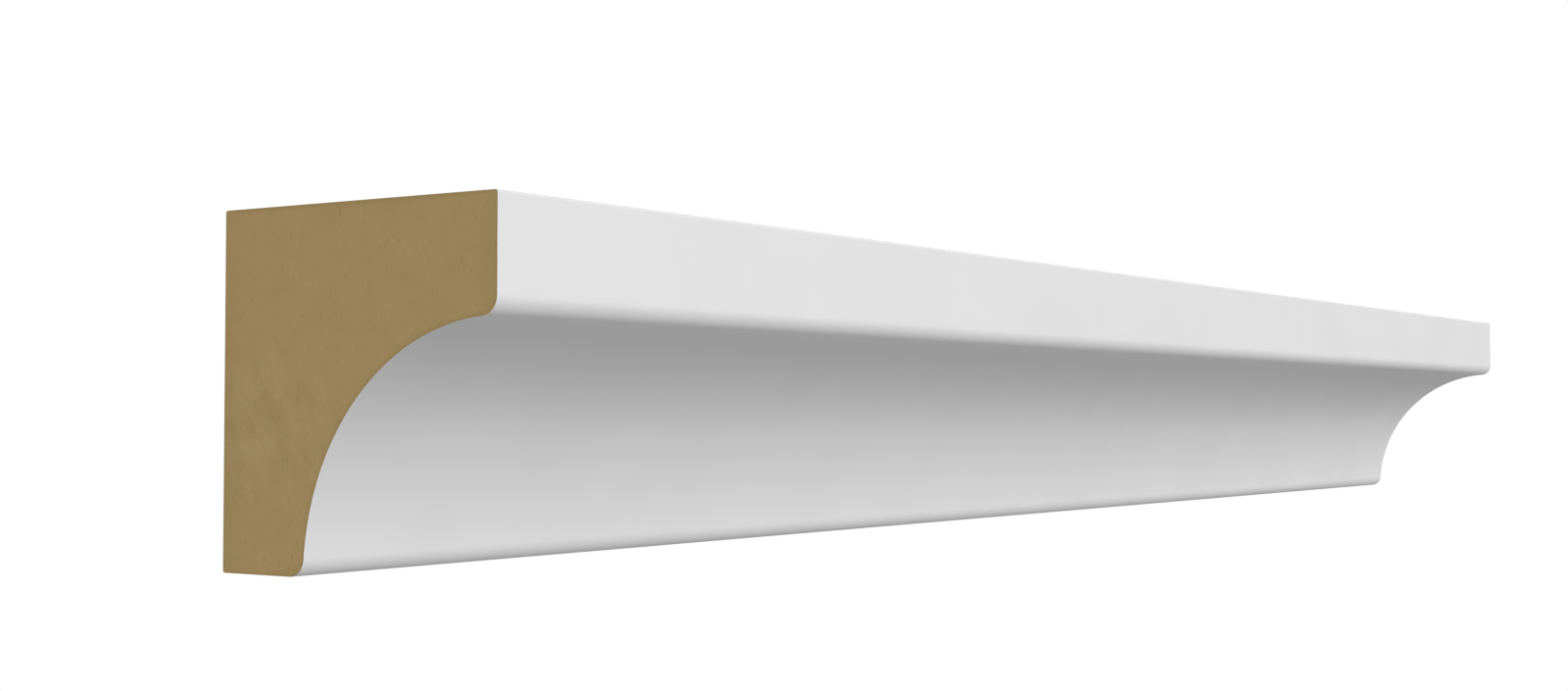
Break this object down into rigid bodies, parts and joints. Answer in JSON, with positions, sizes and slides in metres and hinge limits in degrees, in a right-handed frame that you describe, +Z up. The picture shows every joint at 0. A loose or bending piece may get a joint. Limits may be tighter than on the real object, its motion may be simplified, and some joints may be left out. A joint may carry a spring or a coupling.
{
  "type": "inside corner moulding",
  "caption": "Straight square-section cove moulding that trims an inside corner, with a flat back and top, a small nose and toe, white faces and bare MDF cut ends.",
  "frame": {"origin": "centre of the flat back face", "axes": "+X along the length, the front faces -Y and the flat back +Y, +Z up with the flat top facing it"},
  "size_m": [0.1714, 0.0191, 0.019],
  "materials": {
    "primed_mdf": "satin"
  },
  "bodies": {
    "root": {"inside_corner_moulding": "primed_mdf"}
  },
  "joints": []
}
